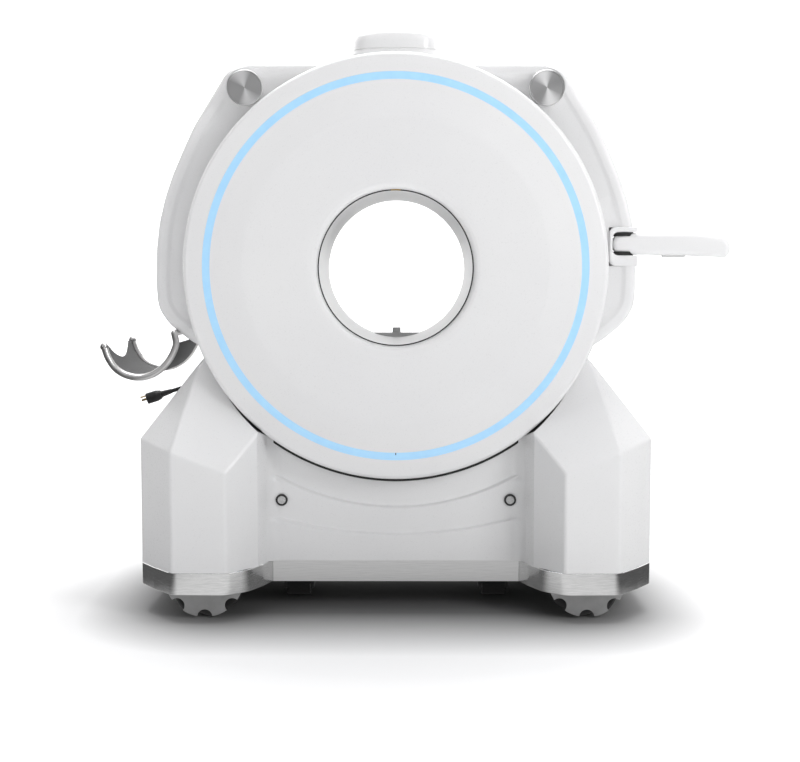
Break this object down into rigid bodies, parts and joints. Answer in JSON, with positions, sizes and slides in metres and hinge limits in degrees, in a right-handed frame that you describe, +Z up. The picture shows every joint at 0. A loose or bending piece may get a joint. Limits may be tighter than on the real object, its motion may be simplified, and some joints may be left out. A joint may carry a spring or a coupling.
{
  "type": "mobile head ct scanner",
  "caption": "Mobile head CT scanner: ring gantry with a small bore and rotating imaging parts on a low base with mecanum wheels, scan crawlers and a fold-back steering arm.",
  "frame": {"origin": "on the floor, straight below the bore axis and midway between the front and rear ring covers", "axes": "+X to the right seen from the patient end, +Y from the patient end to the rear along the bore, +Z up"},
  "size_m": [1.7014, 0.7898, 1.543],
  "materials": {
    "cover_white": "smooth moulded cover with a satin gloss",
    "bore_liner": "smooth pale liner",
    "light_strip": "softly glowing pale blue diffuser",
    "bumper_steel": "satin polished sheet with crisp folds",
    "beam_metal": "fine brushed along its length",
    "spun_metal": "spun face with radial sheen",
    "bar_white": "smooth white paint",
    "frame_paint": "powder coated weldment",
    "rotor_metal": "machined",
    "bearing_steel": "ground",
    "brass_ring": "turned tracks",
    "dark_unit": "fine texture",
    "tube_housing": "painted casting",
    "belt_rubber": "moulded",
    "carriage_dark": "black oxide",
    "wheel_grey": "zinc grey plates",
    "roller_black": "moulded polyurethane",
    "rail_metal": "polished bent rod",
    "lining_grey": "soft textured liner",
    "sensor_ring": "dark bezel with a pale lens",
    "trigger_grey": "fine texture",
    "cord_black": "matt jacket",
    "prong_brass": "stamped"
  },
  "bodies": {
    "frame": {"arm_pin": "bearing_steel", "bar_end_caps": "spun_metal", "base_cover_left": "cover_white", "base_cover_right": "cover_white", "battery_packs": "dark_unit", "bearing_outer_race": "bearing_steel", "bore_tube": "bore_liner", "brush_block": "dark_unit", "bumper_skirt_left": "bumper_steel", "bumper_skirt_right": "bumper_steel", "chassis": "frame_paint", "cord_coil": "cord_black", "cord_gland": "cord_black", "cord_hook": "rail_metal", "cord_tube": "cord_black", "cradle_lining": "lining_grey", "cradle_rails": "rail_metal", "cross_beams": "beam_metal", "docking_plate": "rotor_metal", "drive_belt": "belt_rubber", "drive_motor": "rotor_metal", "front_cover": "cover_white", "front_panel": "cover_white", "gantry_frame": "frame_paint", "lifting_bars": "bar_white", "light_ring": "light_strip", "panel_sensors": "sensor_ring", "plug_body": "cord_black", "plug_prongs": "prong_brass", "rear_cover": "cover_white", "rear_panel": "cover_white", "shoulder_cover_left": "cover_white", "shoulder_cover_right": "cover_white", "top_pod": "cover_white", "wheel_motors": "rotor_metal"},
    "rotor": {"rotor_drum": "rotor_metal", "bearing_inner_race": "bearing_steel", "slip_ring": "brass_ring", "xray_tube": "tube_housing", "collimator": "dark_unit", "detector_array": "dark_unit", "hv_generator": "tube_housing", "data_module": "dark_unit"},
    "motor_pulley": {"motor_pulley": "bearing_steel"},
    "steering_arm": {"steering_arm": "cover_white"},
    "arm_trigger": {"arm_trigger": "trigger_grey"},
    "wheel_front_left": {"wheel_hub_front_left": "wheel_grey", "wheel_rollers_front_left": "roller_black"},
    "wheel_front_right": {"wheel_hub_front_right": "wheel_grey", "wheel_rollers_front_right": "roller_black"},
    "wheel_rear_left": {"wheel_hub_rear_left": "wheel_grey", "wheel_rollers_rear_left": "roller_black"},
    "wheel_rear_right": {"wheel_hub_rear_right": "wheel_grey", "wheel_rollers_rear_right": "roller_black"},
    "crawler_left": {"crawler_carriage_left": "carriage_dark", "crawler_track_left": "belt_rubber"},
    "crawler_drive_left": {"crawler_pulley_left": "carriage_dark"},
    "crawler_right": {"crawler_carriage_right": "carriage_dark", "crawler_track_right": "belt_rubber"},
    "crawler_drive_right": {"crawler_pulley_right": "carriage_dark"}
  },
  "joints": [
    {"name": "rotor_spin", "type": "hinge", "parent": "frame", "child": "rotor", "pos_m": [0, 0, 0.918], "axis": [0, 1, 0], "continuous": true},
    {"name": "pulley_spin", "type": "hinge", "parent": "frame", "child": "motor_pulley", "pos_m": [0.302, 0.025, 0.558], "axis": [0, 1, 0], "continuous": true},
    {"name": "arm_swing", "type": "hinge", "parent": "frame", "child": "steering_arm", "pos_m": [0.611, -0.129, 0.983], "axis": [0, 0, 1], "range_deg": [0, 90]},
    {"name": "trigger_press", "type": "slide", "parent": "steering_arm", "child": "arm_trigger", "axis": [0, 0, 1], "range_m": [0, 0.005], "stiffness_N_per_m": 1200, "springref_m": -0.001},
    {"name": "wheel_front_left_spin", "type": "hinge", "parent": "frame", "child": "wheel_front_left", "pos_m": [-0.502, -0.258, 0.107], "axis": [0, 1, 0], "continuous": true},
    {"name": "wheel_front_right_spin", "type": "hinge", "parent": "frame", "child": "wheel_front_right", "pos_m": [0.502, -0.258, 0.107], "axis": [0, 1, 0], "continuous": true},
    {"name": "wheel_rear_left_spin", "type": "hinge", "parent": "frame", "child": "wheel_rear_left", "pos_m": [-0.502, 0.258, 0.107], "axis": [0, 1, 0], "continuous": true},
    {"name": "wheel_rear_right_spin", "type": "hinge", "parent": "frame", "child": "wheel_rear_right", "pos_m": [0.502, 0.258, 0.107], "axis": [0, 1, 0], "continuous": true},
    {"name": "crawler_lift_left", "type": "slide", "parent": "frame", "child": "crawler_left", "axis": [0, 0, -1], "range_m": [0, 0.014]},
    {"name": "crawler_drive_left_spin", "type": "hinge", "parent": "crawler_left", "child": "crawler_drive_left", "pos_m": [-0.27, -0.069, 0.046], "axis": [1, 0, 0], "continuous": true},
    {"name": "crawler_lift_right", "type": "slide", "parent": "frame", "child": "crawler_right", "axis": [0, 0, -1], "range_m": [0, 0.014]},
    {"name": "crawler_drive_right_spin", "type": "hinge", "parent": "crawler_right", "child": "crawler_drive_right", "pos_m": [0.27, -0.069, 0.046], "axis": [1, 0, 0], "continuous": true}
  ],
  "couplings": [
    {"joint": "pulley_spin", "follows": "rotor_spin", "ratio": 10},
    {"joint": "crawler_lift_right", "follows": "crawler_lift_left", "ratio": 1}
  ]
}
